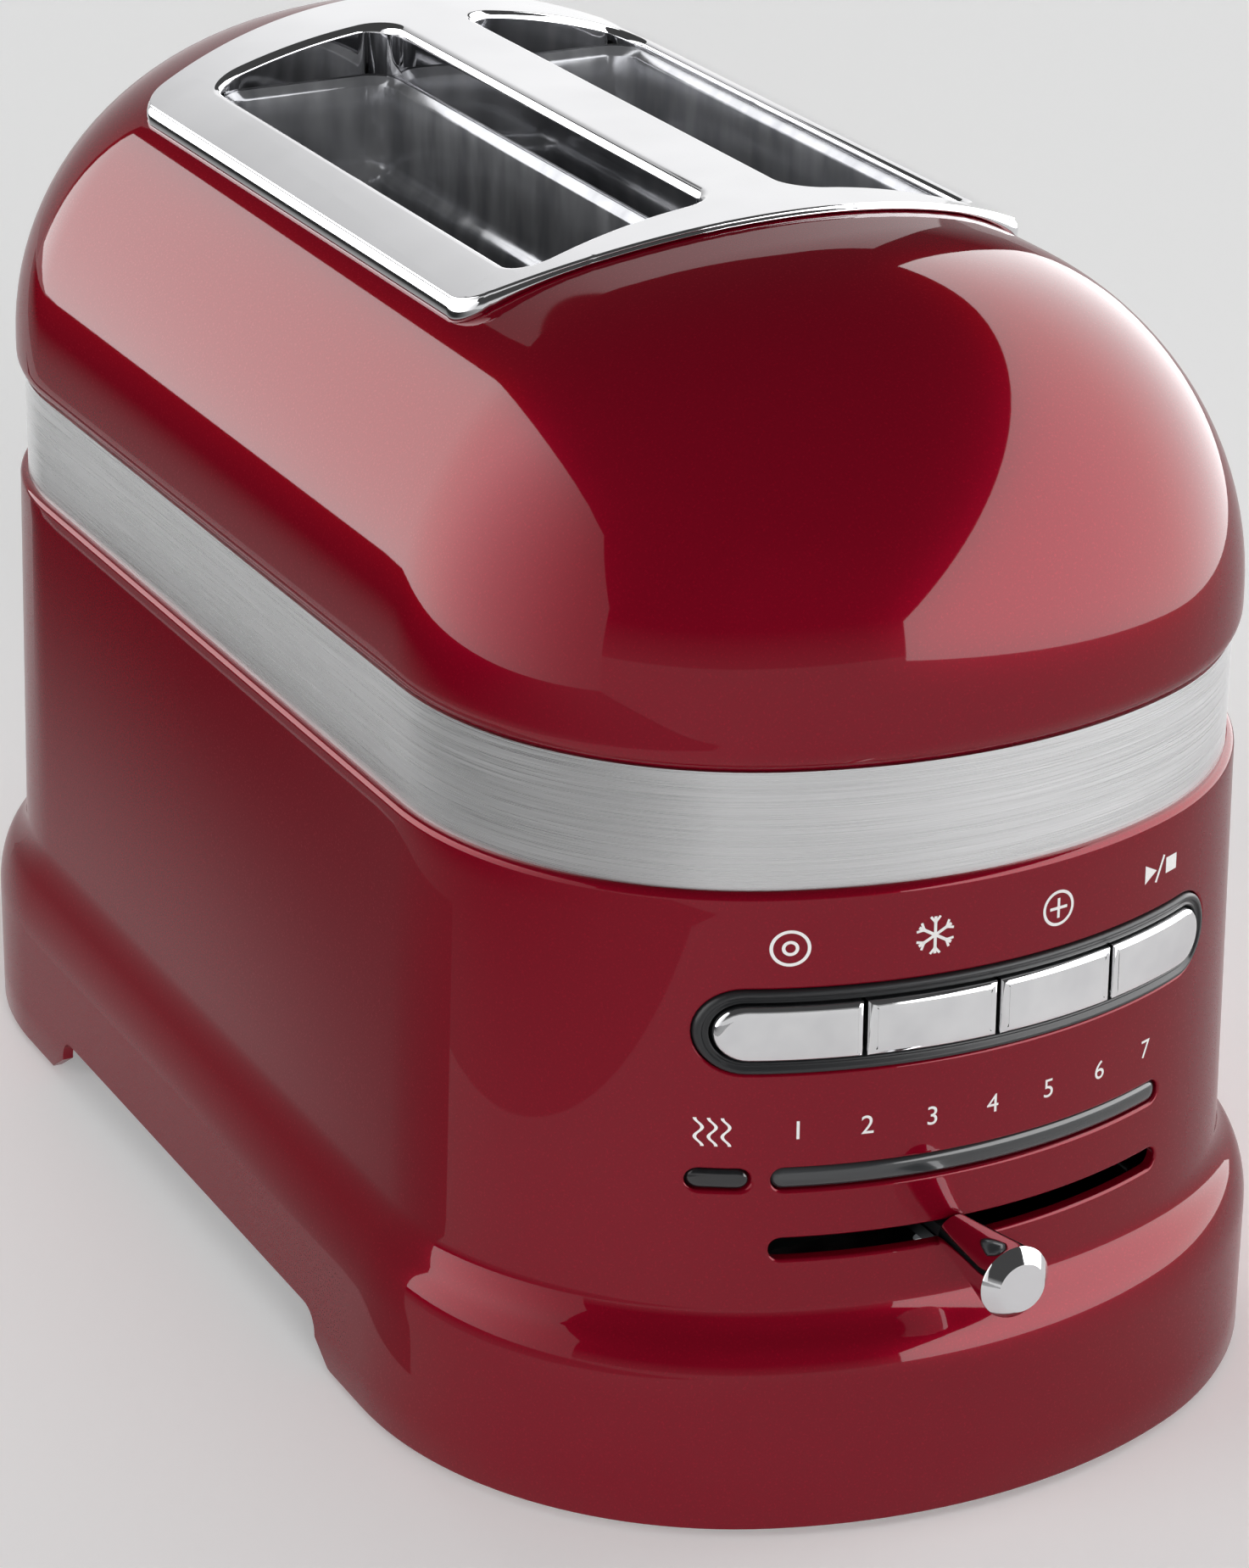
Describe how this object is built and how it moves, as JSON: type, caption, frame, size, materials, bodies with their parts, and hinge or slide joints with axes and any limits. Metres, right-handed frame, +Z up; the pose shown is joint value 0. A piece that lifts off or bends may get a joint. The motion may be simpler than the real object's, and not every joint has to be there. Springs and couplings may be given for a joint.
{
  "type": "pop-up toaster",
  "caption": "Pop-up toaster with a domed enamelled body on a flared skirt, brushed band, chrome slot bezel, button row, browning slider and motor-driven bread lift.",
  "frame": {"origin": "on the floor, at the middle of the body's plan, between the four feet", "axes": "+Z up, +Y along the long axis towards the back; the control face looks towards -Y"},
  "size_m": [0.1912, 0.3721, 0.233],
  "materials": {
    "red_enamel": "gloss metallic enamel",
    "brushed_band": "brushed",
    "bright_chrome": "mirror",
    "liner_steel": "drawn and polished",
    "chassis_steel": "zinc plated sheet",
    "guide_wire": "plated wire",
    "mica": "mica sheet",
    "heater_ribbon": "resistance ribbon",
    "rod_steel": "ground",
    "gear_nylon": "moulded",
    "motor_steel": "plated can",
    "surround_plastic": "moulded",
    "board_laminate": "solder mask",
    "black_plastic": "moulded",
    "smoked_lens": "smoked clear",
    "light_guide": "clear moulded",
    "foot_rubber": "moulded"
  },
  "bodies": {
    "body": {"lower_housing": "red_enamel", "dome_shell": "red_enamel", "steel_band": "brushed_band", "top_bezel": "bright_chrome", "left_slot_liner": "liner_steel", "right_slot_liner": "liner_steel", "base_plate": "chassis_steel", "base_screws": "chassis_steel", "spacer_posts": "chassis_steel", "front_end_frame": "chassis_steel", "rear_end_frame": "chassis_steel", "left_reflector": "liner_steel", "right_reflector": "liner_steel", "left_outer_heater_card": "mica", "left_inner_heater_card": "mica", "right_inner_heater_card": "mica", "right_outer_heater_card": "mica", "heater_ribbons": "heater_ribbon", "rod_brackets": "chassis_steel", "guide_rods": "rod_steel", "lift_gearbox": "gear_nylon", "lift_motor": "motor_steel", "motor_bracket": "chassis_steel", "button_surround": "surround_plastic", "switch_board": "board_laminate", "button_switches": "black_plastic", "indicator_lens": "smoked_lens", "keep_warm_lens": "smoked_lens", "indicator_lights": "light_guide", "control_board": "board_laminate", "board_screws": "chassis_steel", "slide_control": "black_plastic", "board_standoffs": "gear_nylon", "power_board": "board_laminate", "power_relay": "black_plastic", "transformer": "black_plastic", "cord_gland": "surround_plastic", "rubber_feet": "foot_rubber"},
    "lift": {"left_bread_carrier": "chassis_steel", "right_bread_carrier": "chassis_steel", "lift_yoke": "chassis_steel", "lift_rack": "gear_nylon"},
    "pinion": {"drive_pinion": "gear_nylon"},
    "left_outer_guide": {"left_outer_guide": "guide_wire"},
    "left_inner_guide": {"left_inner_guide": "guide_wire"},
    "right_inner_guide": {"right_inner_guide": "guide_wire"},
    "right_outer_guide": {"right_outer_guide": "guide_wire"},
    "one_side_button": {"one_side_button": "bright_chrome"},
    "frozen_button": {"frozen_button": "bright_chrome"},
    "longer_button": {"longer_button": "bright_chrome"},
    "start_button": {"start_button": "bright_chrome"},
    "shade_slider": {"shade_knob": "bright_chrome", "slider_stem": "chassis_steel"},
    "tray": {"crumb_tray": "chassis_steel", "tray_handle": "red_enamel"}
  },
  "joints": [
    {"name": "bread_lift", "type": "slide", "parent": "body", "child": "lift", "axis": [0, 0, 1], "range_m": [-0.07, 0]},
    {"name": "drive_spin", "type": "hinge", "parent": "body", "child": "pinion", "pos_m": [-0.009, -0.1062, 0.104], "axis": [0, 1, 0], "range_deg": [0, 446]},
    {"name": "left_outer_guide_close", "type": "slide", "parent": "body", "child": "left_outer_guide", "axis": [1, 0, 0], "range_m": [0, 0.005]},
    {"name": "left_inner_guide_close", "type": "slide", "parent": "body", "child": "left_inner_guide", "axis": [-1, 0, 0], "range_m": [0, 0.005]},
    {"name": "right_inner_guide_close", "type": "slide", "parent": "body", "child": "right_inner_guide", "axis": [1, 0, 0], "range_m": [0, 0.005]},
    {"name": "right_outer_guide_close", "type": "slide", "parent": "body", "child": "right_outer_guide", "axis": [-1, 0, 0], "range_m": [0, 0.005]},
    {"name": "one_side_press", "type": "slide", "parent": "body", "child": "one_side_button", "axis": [0.3537, 0.9354, 0], "range_m": [0, 0.0015], "stiffness_N_per_m": 800},
    {"name": "frozen_press", "type": "slide", "parent": "body", "child": "frozen_button", "axis": [0.1179, 0.993, 0], "range_m": [0, 0.0015], "stiffness_N_per_m": 800},
    {"name": "longer_press", "type": "slide", "parent": "body", "child": "longer_button", "axis": [-0.1179, 0.993, 0], "range_m": [0, 0.0015], "stiffness_N_per_m": 800},
    {"name": "start_press", "type": "slide", "parent": "body", "child": "start_button", "axis": [-0.3537, 0.9354, 0], "range_m": [0, 0.0015], "stiffness_N_per_m": 800},
    {"name": "shade_slide", "type": "slide", "parent": "body", "child": "shade_slider", "axis": [1, 0, 0], "range_m": [-0.03, 0.046]},
    {"name": "tray_slide", "type": "slide", "parent": "body", "child": "tray", "axis": [0, 1, 0], "range_m": [0, 0.2]}
  ],
  "couplings": [
    {"joint": "drive_spin", "follows": "bread_lift", "rad_per_m": -111.11},
    {"joint": "left_outer_guide_close", "follows": "bread_lift", "ratio": -0.071429},
    {"joint": "left_inner_guide_close", "follows": "bread_lift", "ratio": -0.071429},
    {"joint": "right_inner_guide_close", "follows": "bread_lift", "ratio": -0.071429},
    {"joint": "right_outer_guide_close", "follows": "bread_lift", "ratio": -0.071429}
  ]
}
